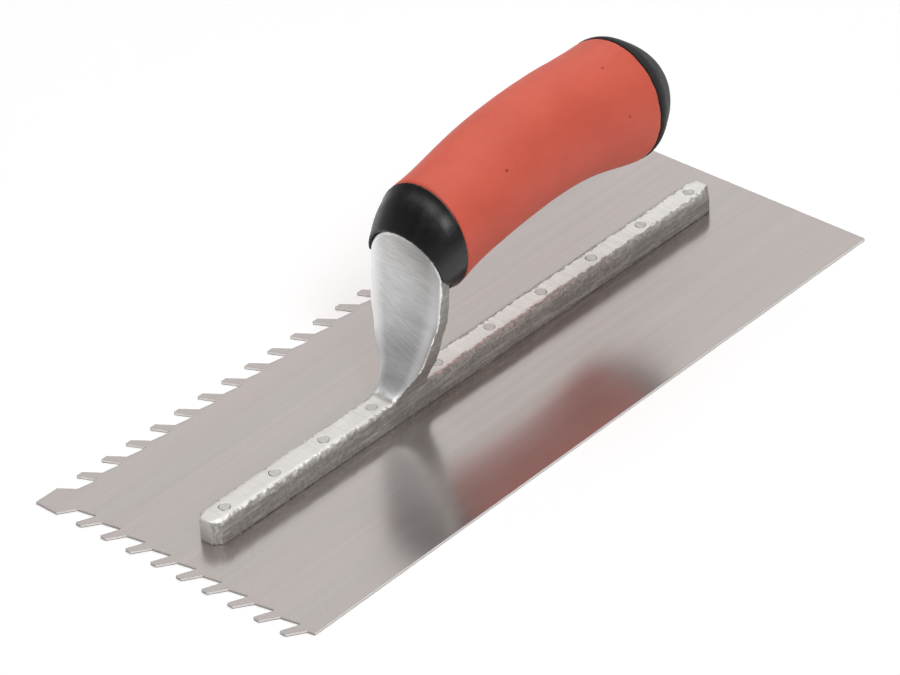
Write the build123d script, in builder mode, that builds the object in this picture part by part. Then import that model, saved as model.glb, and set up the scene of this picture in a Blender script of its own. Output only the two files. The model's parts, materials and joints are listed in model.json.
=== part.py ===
from build123d import *

import os
from math import cos, radians, sin

# Notched trowel: a thin steel blade with slanted notches along its toe and one side, a cast mounting
# riveted down its middle, and a soft-grip handle that one long bolt pulls against the mounting.
#
# Millimetres. +X points to the toe, +Y to the left, +Z up. The origin is the centre of the blade's
# underside.

# --- Blade ---------------------------------------------------------------------------------------
BLADE_LENGTH = 279.4
BLADE_WIDTH = 114.3
BLADE_THICKNESS = 0.8

# One notch, measured along the edge and inward from the end of its mouth nearer the notched corner.
NOTCH_PITCH = 10.95
NOTCH_MOUTH = 8.1
NOTCH_NEAR_CORNER = (3.75, 5.4)
NOTCH_FAR_CORNER = (11.3, 6.95)
NOTCH_RADIUS = 0.35
TOOTH_TIP_RADIUS = 0.5
CORNER_TOOTH = 9.2

# --- Mounting ------------------------------------------------------------------------------------
RIB_FRONT = 121.7
RIB_REAR = -123.5
RIB_WIDTH = 10.5
RIB_TOP = 9.4
RIB_END_CHAMFER = 3.0
RIB_END_RADIUS = 1.6
RIB_EDGE_BREAK = 0.4

# The shank's root is buried in the rib. Its sides are half widths at heights, up to the arch.
SHANK_ROOT_Z = 4.8
SHANK_SIDE = [(5.0, SHANK_ROOT_Z), (5.5, 11.8), (9.2, 18.8), (13.1, 31.5)]
SHANK_HALF_WIDTH = 15.1
ARCH_Z = 52.6
ARCH_RISE = 12.8
# The faces of the shank seen from the side, as x and height.
SHANK_TOE_FACE = [
    (44.0, RIB_TOP),
    (38.5, 10.4),
    (33.8, 14.8),
    (31.0, 23.0),
    (28.6, 34.0),
    (26.4, 49.0),
    (26.1, 57.0),
    (27.3, 66.0),
]
SHANK_BACK_FACE = [(23.2, SHANK_ROOT_Z), (23.6, 20.0), (22.3, 40.0), (21.2, 52.0), (22.6, 66.0)]
# Planes the two views are drawn on, clear of the shank.
SHANK_FRONT_PLANE_X = 60.0
SIDE_PLANE_Y = 20.0

# --- Rivets --------------------------------------------------------------------------------------
RIVET_DIAMETER = 3.8
RIVET_HEAD_DIAMETER = 5.6
RIVET_EDGE_BREAK = 0.15
FRONT_RIVETS = [45.2 + 22.5 * step for step in (3, 2, 1, 0)]
REAR_RIVETS = [13.8 - 25.9 * step for step in range(6)]

# --- Handle --------------------------------------------------------------------------------------
# Upright egg-shaped sections: x, height of the widest line, half width, rise above that line, drop
# below it, and the lean of the top towards the toe in degrees.
GRIP_FRONT = (16.5, 58.7, 18.9, 19.9, 17.8, 0)
GRIP_REAR = (-76.3, 64.9, 21.8, 21.8, 21.8, -5.5)
COLLAR_SECTIONS = [
    GRIP_FRONT,
    (20.2, 56.6, 17.4, 17.3, 14.0, 2.5),
    (23.8, 54.5, 16.1, 15.1, 12.8, 7),
    (25.7, 52.8, 15.7, 13.4, 13.4, 11.2),
]
GRIP_SECTIONS = [
    GRIP_FRONT,
    (2.0, 62.7, 17.9, 18.7, 18.3, 0),
    (-12.0, 65.7, 18.4, 18.9, 18.9, 0),
    (-29.0, 67.8, 18.9, 19.1, 19.1, 0),
    (-45.0, 68.2, 19.4, 19.4, 19.4, 0),
    (-62.0, 66.5, 20.5, 20.4, 20.4, -2),
    GRIP_REAR,
]
SLEEVE_WALL = 3.2
SLEEVE_EDGE_BREAK = 0.5

# The collar's pocket takes the head of the shank. Below the arch the collar is cut back behind it.
POCKET_FLOOR_X = 21.1
COLLAR_CUTBACK = [(23.2, 30.0), (21.2, 49.6), (34.0, 60.2), (34.0, 30.0)]

CAP_DEPTH = 21.4
# The depth that the cap's flank would reach without its round tip.
CAP_FLANK_DEPTH = 22.8
CAP_FULLNESS = 1.43

# --- Fastening along the tilted bolt axis --------------------------------------------------------
BOLT_FRONT = (23.0, 0, 57.4)
BOLT_REAR = (-76.3, 0, 65.6)
BOSS_DIAMETER = 14.0
BOSS_LENGTH = 30.0
BOSS_KEY_WIDTH = 3.0
BOSS_KEY_HEIGHT = 8.6
BOSS_END_GAP = 1.0
TAPPED_DEPTH = 24.0

BOLT_DIAMETER = 6.0
BOLT_LENGTH = 75.0
BOLT_HEAD_DIAMETER = 10.0
BOLT_HEAD_HEIGHT = 6.0
BOLT_HEAD_CHAMFER = 0.6
BOLT_TIP_CHAMFER = 0.8
HEX_SOCKET = 5.0
HEX_DEPTH = 3.0
WASHER_DIAMETER = 12.0
WASHER_THICKNESS = 1.6
LOCK_WASHER_DIAMETER = 11.8
LOCK_WASHER_GAP = 1.0
LOCK_WASHER_SLANT = 20
COUNTERBORE_DIAMETER = 22.0
COUNTERBORE_DEPTH = 15.3
SPIGOT_BORE = 15.0
SPIGOT_LENGTH = 6.0

# --- Radial clearances: pressed metal, moulded pieces, and holes the bolt passes through ---------
CLOSE_FIT = 0.05
MOULDED_FIT = 0.1
BOLT_FIT = 0.2

SEAT = (Align.CENTER, Align.CENTER, Align.MIN)

bolt_plane = Plane(origin=BOLT_FRONT, x_dir=(0, -1, 0), z_dir=Vector(BOLT_REAR) - Vector(BOLT_FRONT))
bolt_span = (Vector(BOLT_REAR) - Vector(BOLT_FRONT)).length
bolt_seat = bolt_span - COUNTERBORE_DEPTH


def station(x, z, lean):
    """An upright plane across the handle whose top leans towards the toe by the given degrees."""
    return Plane(Location((x, 0, z), (0, lean, 0)) * Location(Plane.YZ))


def egg_body(sections, inset=0.0):
    """A solid that passes through a row of egg-shaped sections, each drawn in by the inset."""
    with BuildPart() as body:
        for x, z, half_width, rise, drop, lean in sections:
            with BuildSketch(station(x, z, lean)):
                with BuildLine():
                    EllipticalCenterArc((0, 0), half_width - inset, rise - inset, 0, arc_size=180)
                    EllipticalCenterArc((0, 0), half_width - inset, drop - inset, 180, arc_size=180)
                make_face()
        loft()
    return body.part


def boss_outline(clearance=0.0):
    """The keyed round outline of the mounting's boss, square to the bolt, grown by the clearance."""
    with BuildSketch(bolt_plane) as outline:
        Circle(BOSS_DIAMETER / 2 + clearance)
        Rectangle(
            BOSS_KEY_WIDTH + 2 * clearance,
            BOSS_KEY_HEIGHT + clearance,
            align=(Align.CENTER, Align.MIN),
        )
    return outline.sketch


def shank_front(clearance=0.0):
    """The shank seen from the toe: a narrow foot that widens into an arch, grown by the clearance."""
    with BuildSketch(Plane.YZ.offset(SHANK_FRONT_PLANE_X)) as outline:
        with BuildLine():
            arch = EllipticalCenterArc(
                (0, ARCH_Z), SHANK_HALF_WIDTH + clearance, ARCH_RISE + clearance, 0, arc_size=180
            )
            side_points = [(half_width + clearance, z) for half_width, z in SHANK_SIDE]
            side = Spline(*side_points, arch @ 0, tangents=((0, 1), (0, 1)))
            other_side = mirror(side, about=Plane.YZ)
            Line(side @ 0, other_side @ 0)
        make_face()
    return outline.sketch


def save(piece, name):
    """Name a finished piece and write it to its own file."""
    piece.part.label = name
    export_step(piece.part, f"parts/{name}.step")


os.makedirs("parts", exist_ok=True)

# --- Blade ---------------------------------------------------------------------------------------
# The notch is drawn with the edge along +X and the steel on its +Y side.
with BuildSketch() as notch:
    with BuildLine():
        Polyline((0, 0), NOTCH_NEAR_CORNER, NOTCH_FAR_CORNER, (NOTCH_MOUTH, 0), close=True)
    make_face()
    fillet(notch.vertices().filter_by(lambda corner: corner.Y > 1), NOTCH_RADIUS)

toe_notches = int((BLADE_WIDTH - CORNER_TOOTH) / NOTCH_PITCH) + 1
side_notches = int((BLADE_LENGTH - CORNER_TOOTH) / NOTCH_PITCH) + 1
rivet_spots = [(x, 0) for x in FRONT_RIVETS + REAR_RIVETS]


def at_tooth_tip(corner):
    """Whether a corner of the blade's outline lies on a notched edge, away from the blade's own corners."""
    from_toe = BLADE_LENGTH / 2 - corner.X
    from_side = corner.Y + BLADE_WIDTH / 2
    from_ends = min(from_toe + from_side, BLADE_LENGTH - from_toe, BLADE_WIDTH - from_side)
    return min(from_toe, from_side) < CLOSE_FIT < from_ends


with BuildPart() as blade:
    with BuildSketch() as outline:
        Rectangle(BLADE_LENGTH, BLADE_WIDTH)
        with Locations(*[(BLADE_LENGTH / 2, -BLADE_WIDTH / 2 + CORNER_TOOTH + NOTCH_PITCH * step)
                         for step in range(toe_notches)]):
            add(notch.sketch, rotation=90, mode=Mode.SUBTRACT)
        with Locations(*[(BLADE_LENGTH / 2 - CORNER_TOOTH - NOTCH_PITCH * step, -BLADE_WIDTH / 2)
                         for step in range(side_notches)]):
            add(notch.sketch.mirror(Plane.YZ), mode=Mode.SUBTRACT)
        fillet(outline.vertices().filter_by(at_tooth_tip), TOOTH_TIP_RADIUS)
    extrude(amount=BLADE_THICKNESS)
    with Locations(*rivet_spots):
        Cone(
            RIVET_HEAD_DIAMETER / 2 + CLOSE_FIT,
            RIVET_DIAMETER / 2 + CLOSE_FIT,
            BLADE_THICKNESS,
            align=SEAT,
            mode=Mode.SUBTRACT,
        )
save(blade, "blade")

# --- Rivets --------------------------------------------------------------------------------------
# Each head fills a countersink in the blade's underside and each tail is dressed flush with the rib.
for number, (x, y) in enumerate(rivet_spots, start=1):
    with BuildPart(Plane(origin=(x, y, 0))) as rivet:
        Cone(RIVET_HEAD_DIAMETER / 2, RIVET_DIAMETER / 2, BLADE_THICKNESS, align=SEAT)
        Cylinder(RIVET_DIAMETER / 2, RIB_TOP, align=SEAT)
        chamfer(rivet.edges().group_by(Axis.Z)[-1], RIVET_EDGE_BREAK)
    save(rivet, f"blade_rivet_{number:02d}")

# --- Mounting ------------------------------------------------------------------------------------
# The shank is where two extrusions meet: its side view, with a deep concave foot in front, and its
# leaf-shaped front view.
with BuildPart() as shank:
    with BuildSketch(Plane.XZ.offset(-SIDE_PLANE_Y)):
        with BuildLine():
            toe_face = Spline(*SHANK_TOE_FACE)
            back_face = Spline(*SHANK_BACK_FACE)
            Polyline(toe_face @ 0, (SHANK_TOE_FACE[0][0], SHANK_ROOT_Z), back_face @ 0)
            Line(toe_face @ 1, back_face @ 1)
        make_face()
    extrude(amount=SIDE_PLANE_Y * 2)
    extrude(shank_front(), amount=-SHANK_FRONT_PLANE_X, mode=Mode.INTERSECT)

with BuildPart() as mounting:
    with BuildSketch(Plane.XY.offset(BLADE_THICKNESS)):
        with Locations(((RIB_FRONT + RIB_REAR) / 2, 0)):
            rib_plan = Rectangle(RIB_FRONT - RIB_REAR, RIB_WIDTH)
        chamfer(rib_plan.vertices(), RIB_END_CHAMFER)
    extrude(amount=RIB_TOP - BLADE_THICKNESS)
    fillet(mounting.edges().filter_by(Axis.Z), RIB_END_RADIUS)
    chamfer(mounting.faces().sort_by(Axis.Z)[-1].edges(), RIB_EDGE_BREAK)
    add(shank.part)
    extrude(boss_outline(), amount=BOSS_LENGTH)
    with Locations(bolt_plane.offset(BOSS_LENGTH - TAPPED_DEPTH)):
        Cylinder(BOLT_DIAMETER / 2 + CLOSE_FIT, TAPPED_DEPTH, align=SEAT, mode=Mode.SUBTRACT)
    with Locations(*[(x, y, BLADE_THICKNESS) for x, y in rivet_spots]):
        Cylinder(RIVET_DIAMETER / 2 + CLOSE_FIT, RIB_TOP, align=SEAT, mode=Mode.SUBTRACT)
save(mounting, "mounting")

# --- Front collar --------------------------------------------------------------------------------
# A black ring that swells from the shank's arch to the grip and wraps the arch in a thin lip.
with BuildPart() as front_collar:
    add(egg_body(COLLAR_SECTIONS))
    pocket_length = SHANK_FRONT_PLANE_X - POCKET_FLOOR_X
    extrude(shank_front(MOULDED_FIT), amount=-pocket_length, mode=Mode.SUBTRACT)
    with BuildSketch(Plane.XZ.offset(-SIDE_PLANE_Y)):
        Polygon(*COLLAR_CUTBACK, align=None)
    extrude(amount=SIDE_PLANE_Y * 2, mode=Mode.SUBTRACT)
    extrude(boss_outline(MOULDED_FIT), amount=BOSS_LENGTH, mode=Mode.SUBTRACT)
save(front_collar, "front_collar")

# --- Grip and its core ---------------------------------------------------------------------------
with BuildPart() as grip_sleeve:
    add(egg_body(GRIP_SECTIONS))
    rims = grip_sleeve.edges().group_by(Axis.X)[0] + grip_sleeve.edges().group_by(Axis.X)[-1]
    fillet(rims, SLEEVE_EDGE_BREAK)
    add(egg_body(GRIP_SECTIONS, inset=SLEEVE_WALL), mode=Mode.SUBTRACT)
save(grip_sleeve, "grip_sleeve")

with BuildPart() as handle_core:
    add(egg_body(GRIP_SECTIONS, inset=SLEEVE_WALL + MOULDED_FIT))
    extrude(boss_outline(MOULDED_FIT), amount=BOSS_LENGTH + BOSS_END_GAP, mode=Mode.SUBTRACT)
    with Locations(bolt_plane):
        Cylinder(BOLT_DIAMETER / 2 + BOLT_FIT, bolt_span, align=SEAT, mode=Mode.SUBTRACT)
    with Locations(bolt_plane.offset(bolt_seat)):
        Cylinder(COUNTERBORE_DIAMETER / 2, COUNTERBORE_DEPTH * 2, align=SEAT, mode=Mode.SUBTRACT)
save(handle_core, "handle_core")

# --- End cap -------------------------------------------------------------------------------------
# A dome turned about the handle's rear axis, steep at the flank and round at the tip, with a hollow
# spigot that plugs the core's counterbore.
cap_plane = station(*GRIP_REAR[:2], GRIP_REAR[5])
cap_radius = GRIP_REAR[2]


def flank_point(angle):
    """A point on the dome's flank, a superellipse that starts from the rim at 0 degrees."""
    return (
        cap_radius * cos(radians(angle)) ** (2 / CAP_FULLNESS),
        CAP_FLANK_DEPTH * sin(radians(angle)) ** (2 / CAP_FULLNESS),
    )


with BuildPart() as end_cap:
    with BuildSketch(Plane(origin=cap_plane.origin, x_dir=(0, 1, 0), z_dir=cap_plane.y_dir)):
        with BuildLine():
            flank = [flank_point(angle) for angle in (0, 20, 35, 50, 60)]
            dome = Spline(*flank, (0, CAP_DEPTH), tangents=((0, 1), (-1, 0)))
            Polyline(dome @ 0, (0, 0), dome @ 1)
        make_face()
    revolve(axis=Axis(cap_plane.origin, cap_plane.z_dir))
    with Locations(bolt_plane.offset(bolt_span - SPIGOT_LENGTH)):
        Cylinder(COUNTERBORE_DIAMETER / 2 - MOULDED_FIT, SPIGOT_LENGTH * 2, align=SEAT)
        Cylinder(SPIGOT_BORE / 2, SPIGOT_LENGTH * 2, align=SEAT, mode=Mode.SUBTRACT)
save(end_cap, "end_cap")

# --- Handle bolt and its washers -----------------------------------------------------------------
with BuildPart(bolt_plane.offset(bolt_seat)) as flat_washer:
    Cylinder(WASHER_DIAMETER / 2, WASHER_THICKNESS, align=SEAT)
    Hole(BOLT_DIAMETER / 2 + BOLT_FIT)
save(flat_washer, "flat_washer")

with BuildPart(bolt_plane.offset(bolt_seat + WASHER_THICKNESS)) as lock_washer:
    Cylinder(LOCK_WASHER_DIAMETER / 2, WASHER_THICKNESS, align=SEAT)
    Hole(BOLT_DIAMETER / 2 + MOULDED_FIT)
    with Locations((0, LOCK_WASHER_DIAMETER / 2, 0)):
        Box(
            LOCK_WASHER_GAP,
            LOCK_WASHER_DIAMETER,
            WASHER_THICKNESS * 2,
            rotation=(0, LOCK_WASHER_SLANT, 0),
            mode=Mode.SUBTRACT,
        )
save(lock_washer, "lock_washer")

head_seat = bolt_seat + 2 * WASHER_THICKNESS
with BuildPart(bolt_plane.offset(head_seat - BOLT_LENGTH)) as handle_bolt:
    Cylinder(BOLT_DIAMETER / 2, BOLT_LENGTH, align=SEAT)
    chamfer(handle_bolt.edges().sort_by(Axis.X)[-1], BOLT_TIP_CHAMFER)
    with Locations((0, 0, BOLT_LENGTH)):
        Cylinder(BOLT_HEAD_DIAMETER / 2, BOLT_HEAD_HEIGHT, align=SEAT)
    chamfer(handle_bolt.edges().sort_by(Axis.X)[0], BOLT_HEAD_CHAMFER)
    with BuildSketch(bolt_plane.offset(head_seat + BOLT_HEAD_HEIGHT)):
        RegularPolygon(HEX_SOCKET / 2, 6, major_radius=False)
    extrude(amount=-HEX_DEPTH, mode=Mode.SUBTRACT)
save(handle_bolt, "handle_bolt")
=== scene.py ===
import json
from math import radians

import bpy
import numpy as np
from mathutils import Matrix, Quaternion, Vector, noise


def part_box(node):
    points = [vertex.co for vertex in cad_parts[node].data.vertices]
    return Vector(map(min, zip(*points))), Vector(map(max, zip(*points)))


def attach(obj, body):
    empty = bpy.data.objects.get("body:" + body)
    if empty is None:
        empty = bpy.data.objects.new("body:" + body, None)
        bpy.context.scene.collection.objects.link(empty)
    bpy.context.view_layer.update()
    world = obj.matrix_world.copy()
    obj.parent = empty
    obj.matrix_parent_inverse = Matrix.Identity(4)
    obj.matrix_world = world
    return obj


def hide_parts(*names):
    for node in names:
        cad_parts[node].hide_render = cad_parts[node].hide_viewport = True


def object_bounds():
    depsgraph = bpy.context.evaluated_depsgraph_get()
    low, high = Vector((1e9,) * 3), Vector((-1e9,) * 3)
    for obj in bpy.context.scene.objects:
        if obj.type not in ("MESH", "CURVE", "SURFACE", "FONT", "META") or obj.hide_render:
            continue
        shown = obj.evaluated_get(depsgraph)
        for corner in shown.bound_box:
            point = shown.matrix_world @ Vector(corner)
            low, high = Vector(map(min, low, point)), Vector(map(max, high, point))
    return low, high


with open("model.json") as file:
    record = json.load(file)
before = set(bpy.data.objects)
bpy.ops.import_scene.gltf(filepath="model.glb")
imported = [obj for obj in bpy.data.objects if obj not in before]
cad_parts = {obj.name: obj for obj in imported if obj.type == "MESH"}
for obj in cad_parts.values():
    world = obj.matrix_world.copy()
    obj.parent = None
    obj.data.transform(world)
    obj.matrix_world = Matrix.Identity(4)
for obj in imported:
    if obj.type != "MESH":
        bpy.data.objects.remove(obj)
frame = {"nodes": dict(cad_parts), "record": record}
cad_low, cad_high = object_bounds()
scene = bpy.context.scene
MM = 0.001

# Finish of each node: the record's material slot.
slots = {row["node"]: row["material_slot"] for row in frame["record"]["subparts"]}
rivets = sorted(name for name in frame["nodes"] if name.startswith("blade_rivet"))

rib_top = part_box(rivets[0])[1].z
blade_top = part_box("blade")[1].z
collar_low, collar_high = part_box("front_collar")
object_middle = (cad_low + cad_high) / 2

# Meshes of the detailed pieces: the size of a face, and the steps of smoothing.
CAST_GRID = 0.28 * MM
CAST_STEPS = 40
SHOULDER_STEPS = 80
COLLAR_GRID = 0.32 * MM
COLLAR_STEPS = 8
SLEEVE_GRID = 0.55 * MM
SLEEVE_STEPS = 14
CAP_GRID = 0.5 * MM
CAP_STEPS = 8

# Shares of the way to its neighbours' middle that a point moves in one step of smoothing.
RIB_SOFTNESS = 0.04
RIB_EDGE_SOFTNESS = 0.44
FULL_SOFTNESS = 0.5
SHELL_SOFTNESS = 0.4

# Relief of the detailed pieces.
SAND_SIZE = 1.2 * MM
SAND_DEPTH = 0.2 * MM
WANDER_SIZE = 3.0 * MM
WANDER_DEPTH = 0.32 * MM
RIVET_END_RADIUS = 1.9 * MM
RIVET_LIP_WIDTH = 0.9 * MM
RIVET_LIP_HEIGHT = 0.5 * MM
RIVET_GROOVE_DEPTH = 0.03 * MM
RIVET_GROOVE_FLOOR = 0.1 * MM
RIVET_GROOVE_WIDTH = 0.3 * MM
COLLAR_SWELL = 0.6 * MM
SLEEVE_WAVE_SIZE = 9 * MM
SLEEVE_WAVE_DEPTH = 0.05 * MM
NOISE_DECAY = 1.0
NOISE_STEP = 2.0
NOISE_OCTAVES = 3


# --- Materials -----------------------------------------------------------------------------------
class Paint:
    """A procedural material in the making. Its patterns are laid out in metres of the row frame."""

    def __init__(self, name):
        self.material = bpy.data.materials.new(name)
        self.material.use_nodes = True
        self.tree = self.material.node_tree
        self.tree.nodes.clear()
        self.place = self.node("ShaderNodeTexCoord").outputs["Object"]
        self.x, self.y, self.z = self.node("ShaderNodeSeparateXYZ", {0: self.place}).outputs
        facing = self.node("ShaderNodeNewGeometry").outputs["Normal"]
        self.facing_x, _, self.facing_z = self.node("ShaderNodeSeparateXYZ", {0: facing}).outputs

    def node(self, kind, inputs=None, **settings):
        """Adds a node, with its settings made and its inputs linked or filled in."""
        made = self.tree.nodes.new(kind)
        for key, value in settings.items():
            setattr(made, key, value)
        for key, value in (inputs or {}).items():
            if isinstance(value, bpy.types.NodeSocket):
                self.tree.links.new(value, made.inputs[key])
            else:
                made.inputs[key].default_value = value
        return made

    def scaled(self, per_metre):
        """The place in the pattern of a point, for so many features a metre along x, y and z."""
        inputs = {0: self.place, 1: per_metre}
        return self.node("ShaderNodeVectorMath", inputs, operation="MULTIPLY").outputs[0]

    def noise(self, per_metre, detail=4, roughness=0.6, twist=0.0):
        """Cloudy noise from 0 to 1 with so many features a metre along x, y and z."""
        inputs = {"Vector": self.scaled(per_metre), "Scale": 1.0, "Detail": detail, "Roughness": roughness}
        return self.node("ShaderNodeTexNoise", {**inputs, "Distortion": twist}).outputs[0]

    def cells(self, per_metre):
        """Distance from the middle of scattered cells, from 0 to about 1, with so many cells a metre."""
        return self.node("ShaderNodeTexVoronoi", {"Vector": self.scaled(per_metre), "Scale": 1.0}).outputs[0]

    def span(self, value, low, high, start=0.0, end=1.0):
        """Goes smoothly from start to end as the value goes from low to high."""
        inputs = {"Value": value, "From Min": low, "From Max": high, "To Min": start, "To Max": end}
        return self.node("ShaderNodeMapRange", inputs, interpolation_type="SMOOTHSTEP").outputs[0]

    def math(self, operation, first, second=0.0):
        return self.node("ShaderNodeMath", {0: first, 1: second}, operation=operation).outputs[0]

    def times(self, *values):
        product = values[0]
        for value in values[1:]:
            product = self.math("MULTIPLY", product, value)
        return product

    def plus(self, *values):
        total = values[0]
        for value in values[1:]:
            total = self.math("ADD", total, value)
        return total

    def size_of(self, value):
        """The value without its sign."""
        return self.math("ABSOLUTE", value)

    def outside(self, share):
        """The share turned round: 1 where it is 0 and 0 where it is 1."""
        return self.math("SUBTRACT", 1.0, share)

    def mix(self, share, first, second):
        """The first colour where the share is 0 and the second where it is 1."""
        return self.node("ShaderNodeMix", {0: share, 6: first, 7: second}, data_type="RGBA").outputs[2]

    def pick(self, share, first, second):
        """The first number where the share is 0 and the second where it is 1."""
        return self.node("ShaderNodeMix", {0: share, 2: first, 3: second}).outputs[0]

    def blend(self, share, first, second):
        """The first finish where the share is 0 and the second where it is 1."""
        return {
            "Base_Color": self.mix(share, first["Base_Color"], second["Base_Color"]),
            "Metallic": self.pick(share, first["Metallic"], second["Metallic"]),
            "Roughness": self.pick(share, first["Roughness"], second["Roughness"]),
            "Normal": self.mix(share, first["Normal"], second["Normal"]),
        }

    def bump(self, height, depth, below=None):
        """A surface normal for a height from 0 to 1 that is so many metres deep."""
        inputs = {"Height": height, "Distance": depth, "Strength": 1.0}
        if below is not None:
            inputs["Normal"] = below
        return self.node("ShaderNodeBump", inputs).outputs[0]

    def coat(self, **inputs):
        """Ends the material with one surface shader and hands it over."""
        named = {key.replace("_", " "): value for key, value in inputs.items()}
        shader = self.node("ShaderNodeBsdfPrincipled", named)
        self.node("ShaderNodeOutputMaterial", {"Surface": shader.outputs[0]})
        return self.material


def tint(red, green, blue):
    """An opaque colour."""
    return (red, green, blue, 1.0)


def grey(value, warmth=0.0):
    """An opaque grey, warmer in red and cooler in blue by the warmth."""
    return tint(value * (1 + warmth), value, value * (1 - warmth))


def sheared_walls(paint):
    """Colour of the sheet's cut walls: bright, dark in the torn band below, also painted shade along the
    floor, dull on the toe's tips.
    """
    shear = paint.noise((2500, 2500, 500), detail=3)
    bright = paint.mix(shear, tint(0.74, 0.69, 0.67), tint(0.92, 0.88, 0.86))
    toe_tips = paint.span(paint.facing_x, 0.93, 0.98)
    bright = paint.mix(toe_tips, bright, tint(0.42, 0.38, 0.36))
    # Painted shade: the lowest part of each wall is dark, for the torn band and for the shade along the
    # floor.
    above_torn_band_and_floor_shade = paint.span(paint.z, blade_top * 0.1, blade_top * 0.35)
    return paint.mix(above_torn_band_and_floor_shade, grey(0.20, 0.04), bright)


def blade_steel():
    """Cold-rolled sheet with long fine streaks, faint tinted bands, a few scratches and sheared walls."""
    paint = Paint("blade_steel")
    broad = paint.noise((3, 60, 60), detail=3)
    rolled = paint.noise((5, 260, 260), detail=3)
    fine = paint.noise((9, 1500, 1500), detail=5, roughness=0.7)
    scratches = paint.span(paint.noise((25, 4000, 4000), detail=2), 0.66, 0.74)
    sheet = paint.mix(paint.span(broad, 0.35, 0.65), tint(0.528, 0.470, 0.455), tint(0.500, 0.470, 0.446))
    sheet = paint.mix(paint.span(rolled, 0.35, 0.7, 0, 0.4), sheet, tint(0.46, 0.425, 0.41))
    sheet = paint.mix(paint.span(fine, 0.3, 0.7, 0, 0.11), sheet, tint(0.42, 0.39, 0.375))
    sheet = paint.mix(paint.times(scratches, 0.22), sheet, tint(0.66, 0.64, 0.62))

    cloud = paint.noise((14, 30, 30), detail=2)
    gloss = paint.plus(paint.span(fine, 0.25, 0.75, 0.16, 0.22), paint.span(cloud, 0.3, 0.7, -0.02, 0.03))
    wall = paint.span(paint.size_of(paint.facing_z), 0.7, 0.4)
    return paint.coat(
        Base_Color=paint.mix(wall, sheet, sheared_walls(paint)),
        Metallic=paint.pick(wall, 0.8, 0.3),
        Roughness=paint.pick(wall, gloss, 0.42),
        Anisotropic=0.5,
        Tangent=paint.node("ShaderNodeCombineXYZ", {0: 1.0}).outputs[0],
        Normal=paint.bump(fine, 0.001 * MM),
    )


def as_cast(paint, shoulder, shaded_flank):
    """The casting's dull skin: lumpy, streaked along the rib, stained, worn on the rib's shoulders, and with
    painted shade on the shank's flanks.
    """
    lumps = paint.noise((900, 900, 900), detail=5, roughness=0.65)
    lines = paint.noise((70, 300, 1100), detail=4, roughness=0.65)
    stain = paint.noise((90, 90, 160), detail=4)
    colour = paint.mix(paint.span(lumps, 0.3, 0.7), grey(0.35, 0.065), grey(0.56, 0.055))
    colour = paint.mix(paint.span(lines, 0.45, 0.65, 0, 0.7), colour, grey(0.76, 0.045))
    colour = paint.mix(paint.span(stain, 0.45, 0.65, 0, 0.45), colour, grey(0.34, 0.07))
    # Painted shade: the shank's flanks are darkened to stand for the shaded sides of the shank.
    colour = paint.mix(paint.times(shaded_flank, 0.6), colour, grey(0.36, 0.05))
    pocks = paint.span(paint.noise((650, 650, 650), detail=4, roughness=0.7), 0.45, 0.6)
    worn = paint.mix(pocks, grey(0.60, 0.04), grey(0.38, 0.09))
    return {
        "Base_Color": paint.mix(paint.times(shoulder, 0.75), colour, worn),
        "Metallic": 0.65,
        "Roughness": 0.62,
        "Normal": paint.bump(lines, 0.10 * MM, paint.bump(lumps, 0.12 * MM)),
    }


def ground_bright(paint):
    """Ground metal with its tracks across the rib. It is duller near the toe and glossier to the rear."""
    across = paint.noise((1300, 60, 400), detail=5, roughness=0.75)
    coarse = paint.noise((320, 25, 200), detail=3)
    colour = paint.mix(paint.span(across, 0.3, 0.7), grey(0.76, 0.035), grey(0.90, 0.03))
    colour = paint.mix(paint.span(coarse, 0.5, 0.75, 0, 0.3), colour, grey(0.55, 0.03))
    colour = paint.mix(paint.span(paint.x, 20 * MM, 50 * MM, 0, 0.25), colour, grey(0.58, 0.03))
    rearward = paint.span(paint.x, 30 * MM, 0.0)
    return {
        "Base_Color": colour,
        "Metallic": paint.pick(rearward, 0.6, 0.95),
        "Roughness": paint.pick(rearward, 0.42, 0.33),
        "Normal": paint.bump(across, 0.03 * MM),
    }


def belt_marks(paint):
    """Fine marks that a belt left on the shank's toe face, curved and higher on one side."""
    along_mark = paint.times(paint.y, 60.0)
    swept = paint.plus(paint.z, paint.times(paint.y, 0.45), paint.times(paint.y, paint.y, -14.0))
    across_marks = paint.times(swept, 1100.0)
    marks_at = paint.node("ShaderNodeCombineXYZ", {0: along_mark, 2: across_marks})
    inputs = {"Vector": marks_at.outputs[0], "Scale": 1.0, "Detail": 5.0, "Roughness": 0.65}
    return paint.node("ShaderNodeTexNoise", inputs).outputs[0]


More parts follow.
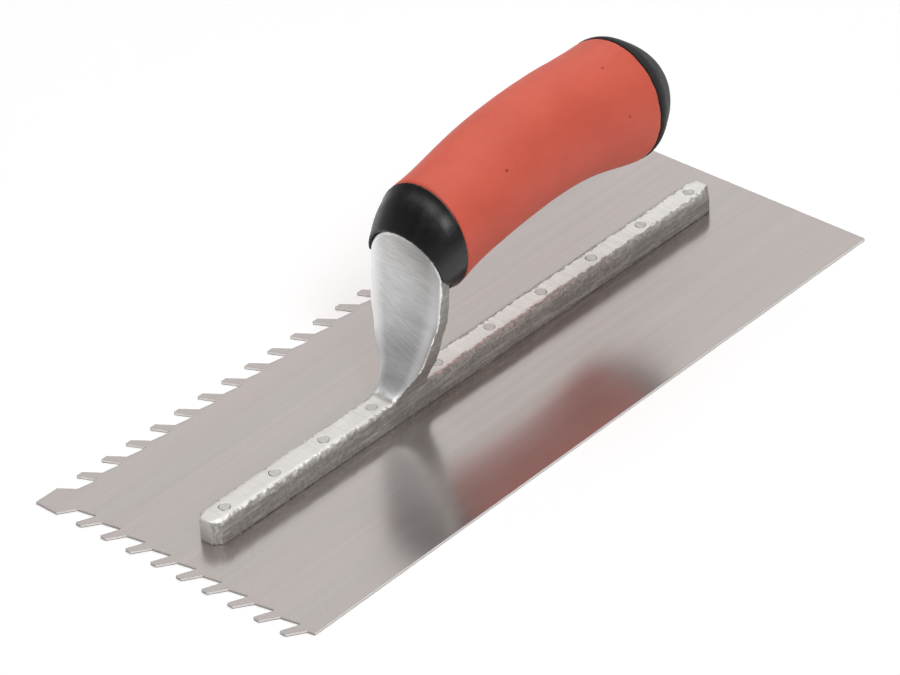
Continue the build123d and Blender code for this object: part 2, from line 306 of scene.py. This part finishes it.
def belt_polished(paint):
    """Satin metal of the shank's toe face: painted shade in the hollow above its foot, patchy, and painted
    highlights along both edges.
    """
    # Painted shade and light: the tone is darkest in the hollow above the foot, and paler at the foot and
    # towards the top.
    foot = paint.span(paint.z, 26 * MM, 14 * MM)
    upper = paint.span(paint.z, 14 * MM, 58 * MM)
    tone = paint.mix(upper, tint(0.47, 0.48, 0.495), tint(0.62, 0.615, 0.61))
    tone = paint.mix(foot, tone, tint(0.62, 0.62, 0.63))

    swirl = belt_marks(paint)
    level_marks = paint.noise((200, 120, 1500), detail=4, roughness=0.7)
    patches = paint.noise((70, 70, 55), detail=3)
    colour = paint.mix(paint.span(swirl, 0.35, 0.65, 0, 0.4), tone, grey(0.90))
    colour = paint.mix(paint.span(level_marks, 0.35, 0.6, 0.35, 0), colour, grey(0.38))
    colour = paint.mix(paint.span(patches, 0.42, 0.66, 0, 0.32), colour, grey(0.80))
    # Painted highlights: the colour goes to near white towards both edges of the face.
    half_width = paint.span(paint.z, -12 * MM, 50 * MM, 0.0, 15.2 * MM)
    outward = paint.math("DIVIDE", paint.size_of(paint.y), half_width)
    rougher_foot = paint.span(paint.z, 30 * MM, 14 * MM, 0, 0.15)
    return {
        "Base_Color": paint.mix(paint.span(outward, 0.55, 0.95, 0, 0.8), colour, grey(0.95)),
        "Metallic": paint.span(paint.z, 14 * MM, 30 * MM, 0.8, 1.0),
        "Roughness": paint.plus(paint.span(swirl, 0.3, 0.7, 0.32, 0.37), rougher_foot),
        "Normal": paint.bump(swirl, 0.002 * MM),
    }


def cast_aluminium():
    """A casting: rough dull sides, a rib top ground across its length and a satin toe face."""
    paint = Paint("cast_aluminium")
    above_rib = paint.span(paint.z, rib_top - 0.2 * MM, rib_top + 0.5 * MM)
    on_rib = paint.outside(above_rib)
    ragged = paint.noise((500, 500, 500), detail=3)

    # The grinding leaves the rib's outer edges out, by less towards the toe, along a ragged line.
    half_ground = paint.plus(
        paint.span(paint.x, -10 * MM, 30 * MM, 3.3 * MM, 4.1 * MM),
        paint.span(ragged, 0.3, 0.7, -0.7 * MM, 0.7 * MM),
    )
    inset = paint.math("SUBTRACT", half_ground, paint.size_of(paint.y))
    near_top = paint.span(paint.z, rib_top - 1.0 * MM, rib_top - 0.4 * MM)
    level = paint.span(paint.facing_z, 0.3, 0.6)
    top = paint.times(paint.span(inset, -0.15 * MM, 0.25 * MM), level, near_top)
    toe_end = paint.span(paint.facing_x, 0.6, 0.8)
    ground = paint.times(paint.math("MAXIMUM", top, toe_end), on_rib)
    shoulder = paint.times(paint.span(paint.facing_z, 0.15, 0.5), paint.outside(top), on_rib)

    toeward = paint.plus(paint.facing_x, paint.span(ragged, 0.3, 0.7, -0.06, 0.06))
    satin = paint.times(paint.span(toeward, 0.32, 0.5), above_rib)
    # The shank's flanks, which get painted shade in as_cast.
    shaded_flank = paint.times(paint.outside(satin), above_rib)

    finish = paint.blend(ground, as_cast(paint, shoulder, shaded_flank), ground_bright(paint))
    finish = paint.blend(satin, finish, belt_polished(paint))
    finish["Metallic"] = paint.pick(paint.times(toe_end, on_rib), finish["Metallic"], 0.25)
    return paint.coat(**finish)


def rivet_steel():
    """Rivet ends dressed flush, darker than the rib, with a dark line round each end."""
    paint = Paint("rivet_steel")
    across = paint.noise((1500, 80, 400), detail=5, roughness=0.75)
    end = paint.mix(paint.span(across, 0.3, 0.7), grey(0.44, 0.04), grey(0.64, 0.03))
    side = paint.span(paint.size_of(paint.facing_z), 0.95, 0.75)
    return paint.coat(
        Base_Color=paint.mix(side, end, grey(0.34, 0.04)),
        Metallic=1.0,
        Roughness=paint.span(across, 0.3, 0.7, 0.3, 0.45),
        Normal=paint.bump(across, 0.02 * MM),
    )


def red_rubber():
    """Matt soft-touch rubber with a fine moulded grain, faint scuffs and a few dark specks."""
    paint = Paint("red_rubber")
    cloud = paint.noise((45, 45, 45), detail=3)
    grain = paint.noise((5200, 5200, 5200), detail=2)
    scuff = paint.noise((220, 700, 500), detail=4, roughness=0.7, twist=0.5)
    speck = paint.span(paint.cells((70, 70, 70)), 0.055, 0.03)
    colour = paint.mix(paint.span(cloud, 0.35, 0.65), tint(0.66, 0.108, 0.068), tint(0.71, 0.122, 0.077))
    colour = paint.mix(paint.span(scuff, 0.62, 0.78, 0, 0.35), colour, tint(0.80, 0.16, 0.11))
    colour = paint.mix(paint.times(speck, 0.7), colour, tint(0.18, 0.03, 0.02))
    return paint.coat(
        Base_Color=colour,
        Roughness=paint.span(scuff, 0.4, 0.75, 0.58, 0.48),
        Specular_IOR_Level=0.3,
        Sheen_Weight=0.05,
        Sheen_Roughness=0.45,
        Normal=paint.bump(grain, 0.02 * MM, paint.bump(scuff, 0.02 * MM)),
    )


def moulded_plastic(name, tone, roughness):
    """Moulded black plastic with a fine grain and faint handling marks, paler and duller on the cap."""
    paint = Paint(name)
    grain = paint.noise((3200, 3200, 3200), detail=3)
    marks = paint.noise((150, 420, 420), detail=4, roughness=0.7, twist=0.4)
    colour = paint.mix(paint.span(marks, 0.5, 0.75, 0, 0.5), grey(tone), grey(tone * 1.8))
    rearward = paint.span(paint.x, -40 * MM, -60 * MM)
    gloss = paint.span(marks, 0.35, 0.7, roughness, roughness + 0.1)
    return paint.coat(
        Base_Color=paint.mix(rearward, colour, grey(0.034)),
        Roughness=paint.plus(gloss, paint.times(rearward, 0.2)),
        Specular_IOR_Level=paint.pick(rearward, 0.7, 0.15),
        Normal=paint.bump(grain, 0.012 * MM),
    )


def plated_steel():
    """Bright zinc plate with a faint yellow and blue cast."""
    paint = Paint("plated_steel")
    cloud = paint.noise((300, 300, 300), detail=4)
    grain = paint.noise((2500, 2500, 2500))
    return paint.coat(
        Base_Color=paint.mix(paint.span(cloud, 0.35, 0.65), tint(0.74, 0.73, 0.68), tint(0.66, 0.68, 0.72)),
        Metallic=1.0,
        Roughness=paint.span(cloud, 0.3, 0.7, 0.2, 0.34),
        Normal=paint.bump(grain, 0.01 * MM),
    )


def pale_floor():
    """Seamless studio paper with a barely visible tooth, lit a little from within to stay white."""
    paint = Paint("pale_floor")
    tooth = paint.noise((800, 800, 800), detail=3)
    return paint.coat(
        Base_Color=paint.mix(tooth, grey(0.95), grey(0.98)),
        Roughness=0.9,
        Specular_IOR_Level=0.1,
        Normal=paint.bump(tooth, 0.01 * MM),
        Emission_Color=grey(1.0),
        Emission_Strength=0.12,
    )


finishes = {
    "blade_steel": blade_steel(),
    "cast_aluminium": cast_aluminium(),
    "rivet_steel": rivet_steel(),
    "red_rubber": red_rubber(),
    "black_plastic": moulded_plastic("black_plastic", 0.0028, 0.29),
    "core_plastic": moulded_plastic("core_plastic", 0.02, 0.5),
    "plated_steel": plated_steel(),
}


def paint_piece(piece, slot):
    """Gives the piece the finish of its slot as its only material."""
    if piece.data.materials:
        piece.data.materials[0] = finishes[slot]
    else:
        piece.data.materials.append(finishes[slot])


for name, node in frame["nodes"].items():
    paint_piece(node, slots[name])


# --- Mesh tools ----------------------------------------------------------------------------------
def read_points(mesh):
    points = np.empty(len(mesh.vertices) * 3)
    mesh.vertices.foreach_get("co", points)
    return points.reshape(-1, 3)


def read_normals(mesh):
    normals = np.empty(len(mesh.vertices) * 3)
    mesh.vertices.foreach_get("normal", normals)
    return normals.reshape(-1, 3)


def write_points(mesh, points):
    mesh.vertices.foreach_set("co", points.ravel())
    mesh.update()


def dense_copy(node, name, grid):
    """A new piece with the node's shape in one fine even mesh, which stands for that node."""
    piece = bpy.data.objects.new(name, frame["nodes"][node].data.copy())
    scene.collection.objects.link(piece)
    remesh = piece.modifiers.new("even mesh", "REMESH")
    remesh.mode = "VOXEL"
    remesh.voxel_size = grid
    remesh.use_smooth_shade = True
    shaped = piece.evaluated_get(bpy.context.evaluated_depsgraph_get())
    piece.data = bpy.data.meshes.new_from_object(shaped)
    piece.modifiers.clear()
    paint_piece(piece, slots[node])
    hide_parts(node)
    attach(piece, "root")
    return piece


def everywhere(value):
    """The same value for every point."""
    return lambda points, *others: np.full(len(points), value)


def soften(piece, steps, strength):
    """Rounds edges by moving each point a share of the way to its neighbours' middle, step by step."""
    mesh = piece.data
    points = read_points(mesh)
    ends = np.empty(len(mesh.edges) * 2, np.int64)
    mesh.edges.foreach_get("vertices", ends)
    start, stop = ends.reshape(-1, 2).T
    count = np.bincount(ends, minlength=len(points))
    share = strength(points)
    for _ in range(steps):
        for axis in range(3):
            values = points[:, axis]
            around = np.bincount(start, values[stop], len(points))
            around = around + np.bincount(stop, values[start], len(points))
            points[:, axis] = values + share * (around / count - values)
    write_points(mesh, points)


def displace(piece, depth):
    """Moves the surface outwards by a depth set point by point."""
    points = read_points(piece.data)
    facing = read_normals(piece.data)
    write_points(piece.data, points + facing * depth(points, facing)[:, None])


def roughen(piece, size, depth):
    """Moves the surface in and out by noise with features of the size, by a depth set point by point."""

    def relief(points, facing):
        places = [Vector(point) / size for point in points]
        heights = [noise.fractal(place, NOISE_DECAY, NOISE_STEP, NOISE_OCTAVES) for place in places]
        return np.array(heights) * depth(points, facing)

    displace(piece, relief)


def step_up(values, low, high):
    """Goes smoothly from 0 to 1 as the values go from low to high."""
    share = np.clip((values - low) / (high - low), 0, 1)
    return share * share * (3 - 2 * share)


# --- Cast mounting -------------------------------------------------------------------------------
def casting_softness(points):
    """The shank is well rounded. The rib is only rounded along the outer edges of its top."""
    height, across = points[:, 2], np.abs(points[:, 1])
    rib_edge = step_up(height, rib_top - 3 * MM, rib_top - MM) * step_up(across, 2.4 * MM, 3.6 * MM)
    on_rib = RIB_SOFTNESS + (RIB_EDGE_SOFTNESS - RIB_SOFTNESS) * rib_edge
    return on_rib + (FULL_SOFTNESS - on_rib) * step_up(height, rib_top, rib_top + 4 * MM)


def shoulder_softness(points):
    """The outer edges of the rib's top are worn down to wide shoulders."""
    height, across = points[:, 2], np.abs(points[:, 1])
    below_top = 1 - step_up(height, rib_top, rib_top + MM)
    on_edge = step_up(height, rib_top - 3.5 * MM, rib_top - 1.5 * MM) * step_up(across, 2.4 * MM, 3.4 * MM)
    return FULL_SOFTNESS * on_edge * below_top


def sand_depth(points, facing):
    """The sand texture of the mould shows wherever the casting wasn't ground or polished."""
    height, across = points[:, 2], np.abs(points[:, 1])
    polished = step_up(facing[:, 0], 0.2, 0.5) * step_up(height, rib_top, rib_top + MM)
    ground = step_up(facing[:, 2], 0.5, 0.8) * (1 - step_up(across, 3 * MM, 4 * MM))
    toe_end = step_up(facing[:, 0], 0.6, 0.8)
    return SAND_DEPTH * (1 - np.maximum(np.maximum(polished, ground), toe_end))


def wander_depth(points, facing):
    """The outer edges of the rib's top wander, because the casting was ground by hand."""
    height, across = points[:, 2], np.abs(points[:, 1])
    below_shank = 1 - step_up(height, rib_top + 0.2 * MM, rib_top + 2 * MM)
    on_edge = step_up(height, rib_top - 3 * MM, rib_top - MM) * step_up(across, 4 * MM, 5 * MM)
    return WANDER_DEPTH * on_edge * below_shank


def dress_rivet_holes(piece):
    """Brings the rib's top level up to each rivet's end again, but for a hairline groove round it."""
    points = read_points(piece.data)
    for rivet in rivets:
        rivet_low, rivet_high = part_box(rivet)
        middle = (rivet_low + rivet_high) / 2
        away = np.hypot(points[:, 0] - middle.x, points[:, 1] - middle.y) - RIVET_END_RADIUS
        lip = (np.abs(points[:, 2] - rib_top) < RIVET_LIP_HEIGHT) & (away < RIVET_LIP_WIDTH)
        in_groove = 1 - step_up(away[lip], RIVET_GROOVE_FLOOR, RIVET_GROOVE_WIDTH)
        points[lip, 2] = rib_top - RIVET_GROOVE_DEPTH * in_groove
    write_points(piece.data, points)


mounting = dense_copy("mounting", "cast_mounting", CAST_GRID)
soften(mounting, CAST_STEPS, casting_softness)
soften(mounting, SHOULDER_STEPS, shoulder_softness)
roughen(mounting, SAND_SIZE, sand_depth)
roughen(mounting, WANDER_SIZE, wander_depth)
dress_rivet_holes(mounting)


# --- Handle --------------------------------------------------------------------------------------
def swell_depth(points, facing):
    """The collar bulges a little just in front of the grip."""
    along = (points[:, 0] - collar_low.x) / (collar_high.x - collar_low.x)
    outer = step_up(facing[:, 0], -0.3, 0.0) * (1 - step_up(facing[:, 0], 0.75, 0.95))
    return COLLAR_SWELL * step_up(along, 0.0, 0.38) * (1 - step_up(along, 0.42, 0.95)) * outer


collar = dense_copy("front_collar", "collar_shell", COLLAR_GRID)
soften(collar, COLLAR_STEPS, everywhere(SHELL_SOFTNESS))
displace(collar, swell_depth)

sleeve = dense_copy("grip_sleeve", "soft_sleeve", SLEEVE_GRID)
soften(sleeve, SLEEVE_STEPS, everywhere(FULL_SOFTNESS))
roughen(sleeve, SLEEVE_WAVE_SIZE, everywhere(SLEEVE_WAVE_DEPTH))

cap = dense_copy("end_cap", "cap_shell", CAP_GRID)
soften(cap, CAP_STEPS, everywhere(SHELL_SOFTNESS))


# --- Floor, lights and camera --------------------------------------------------------------------
FLOOR_SIZE = 8.0
FLOOR_DROP = 0.05 * MM

# The room is pale near the floor's edge and dimmer overhead, so that bare steel isn't black from low views.
HORIZON_LIGHT = 0.36
ZENITH_LIGHT = 0.10
DIM_ABOVE = 0.5

CAMERA_PLACE = (0.8181, 0.7618, 0.7755)
CAMERA_AZIMUTH = 133.206
CAMERA_ELEVATION = 34.333
CAMERA_ROLL = -3.03
CAMERA_LENS = 166.72
CAMERA_SENSOR = 36.0
CAMERA_REACH = 50.0


def lay_floor():
    """A square of studio paper just under the blade."""
    half = FLOOR_SIZE / 2
    corners = [(-half, -half, 0), (half, -half, 0), (half, half, 0), (-half, half, 0)]
    mesh = bpy.data.meshes.new("floor")
    mesh.from_pydata(corners, [], [(0, 1, 2, 3)])
    mesh.materials.append(pale_floor())
    floor = bpy.data.objects.new("floor", mesh)
    floor.location.z = -FLOOR_DROP
    scene.collection.objects.link(floor)


def softbox(name, place, size, power):
    """A square area light at the place, in metres, turned to the object's middle."""
    light = bpy.data.lights.new(name, "AREA")
    light.size = size
    light.energy = power
    lamp = bpy.data.objects.new(name, light)
    lamp.location = place
    lamp.rotation_mode = "QUATERNION"
    lamp.rotation_quaternion = (object_middle - Vector(place)).to_track_quat("-Z", "Y")
    scene.collection.objects.link(lamp)


def light_room():
    """A white world whose strength fades from the horizon up."""
    world = bpy.data.worlds.new("studio")
    world.use_nodes = True
    nodes, links = world.node_tree.nodes, world.node_tree.links
    direction = nodes.new("ShaderNodeTexCoord")
    upward = nodes.new("ShaderNodeSeparateXYZ")
    fade = nodes.new("ShaderNodeMapRange")
    fade.inputs["From Max"].default_value = DIM_ABOVE
    fade.inputs["To Min"].default_value = HORIZON_LIGHT
    fade.inputs["To Max"].default_value = ZENITH_LIGHT
    nodes["Background"].inputs["Color"].default_value = grey(1.0)
    links.new(direction.outputs["Generated"], upward.inputs[0])
    links.new(upward.outputs["Z"], fade.inputs["Value"])
    links.new(fade.outputs[0], nodes["Background"].inputs["Strength"])
    scene.world = world
    scene.view_settings.view_transform = "Standard"


def place_camera():
    """The camera looks at the toe and the left side from above."""
    data = bpy.data.cameras.new("camera")
    data.lens = CAMERA_LENS
    data.sensor_width = CAMERA_SENSOR
    data.clip_end = CAMERA_REACH
    camera = bpy.data.objects.new("camera", data)
    camera.location = CAMERA_PLACE
    turned = Quaternion((0, 0, 1), radians(CAMERA_AZIMUTH))
    raised = Quaternion((1, 0, 0), radians(90 - CAMERA_ELEVATION))
    rolled = Quaternion((0, 0, 1), radians(CAMERA_ROLL))
    camera.rotation_mode = "QUATERNION"
    camera.rotation_quaternion = turned @ raised @ rolled
    scene.collection.objects.link(camera)
    scene.camera = camera


lay_floor()
softbox("overhead", (-0.05, -0.1, 1.7), 1.7, 21)
softbox("far_side", (-2.3, -2.1, 2.0), 2.6, 19)
softbox("left_side", (0.3, -1.1, 1.4), 0.6, 1)
softbox("camera_side", (0.4, 1.05, 1.4), 0.55, 7.5)
light_room()
place_camera()
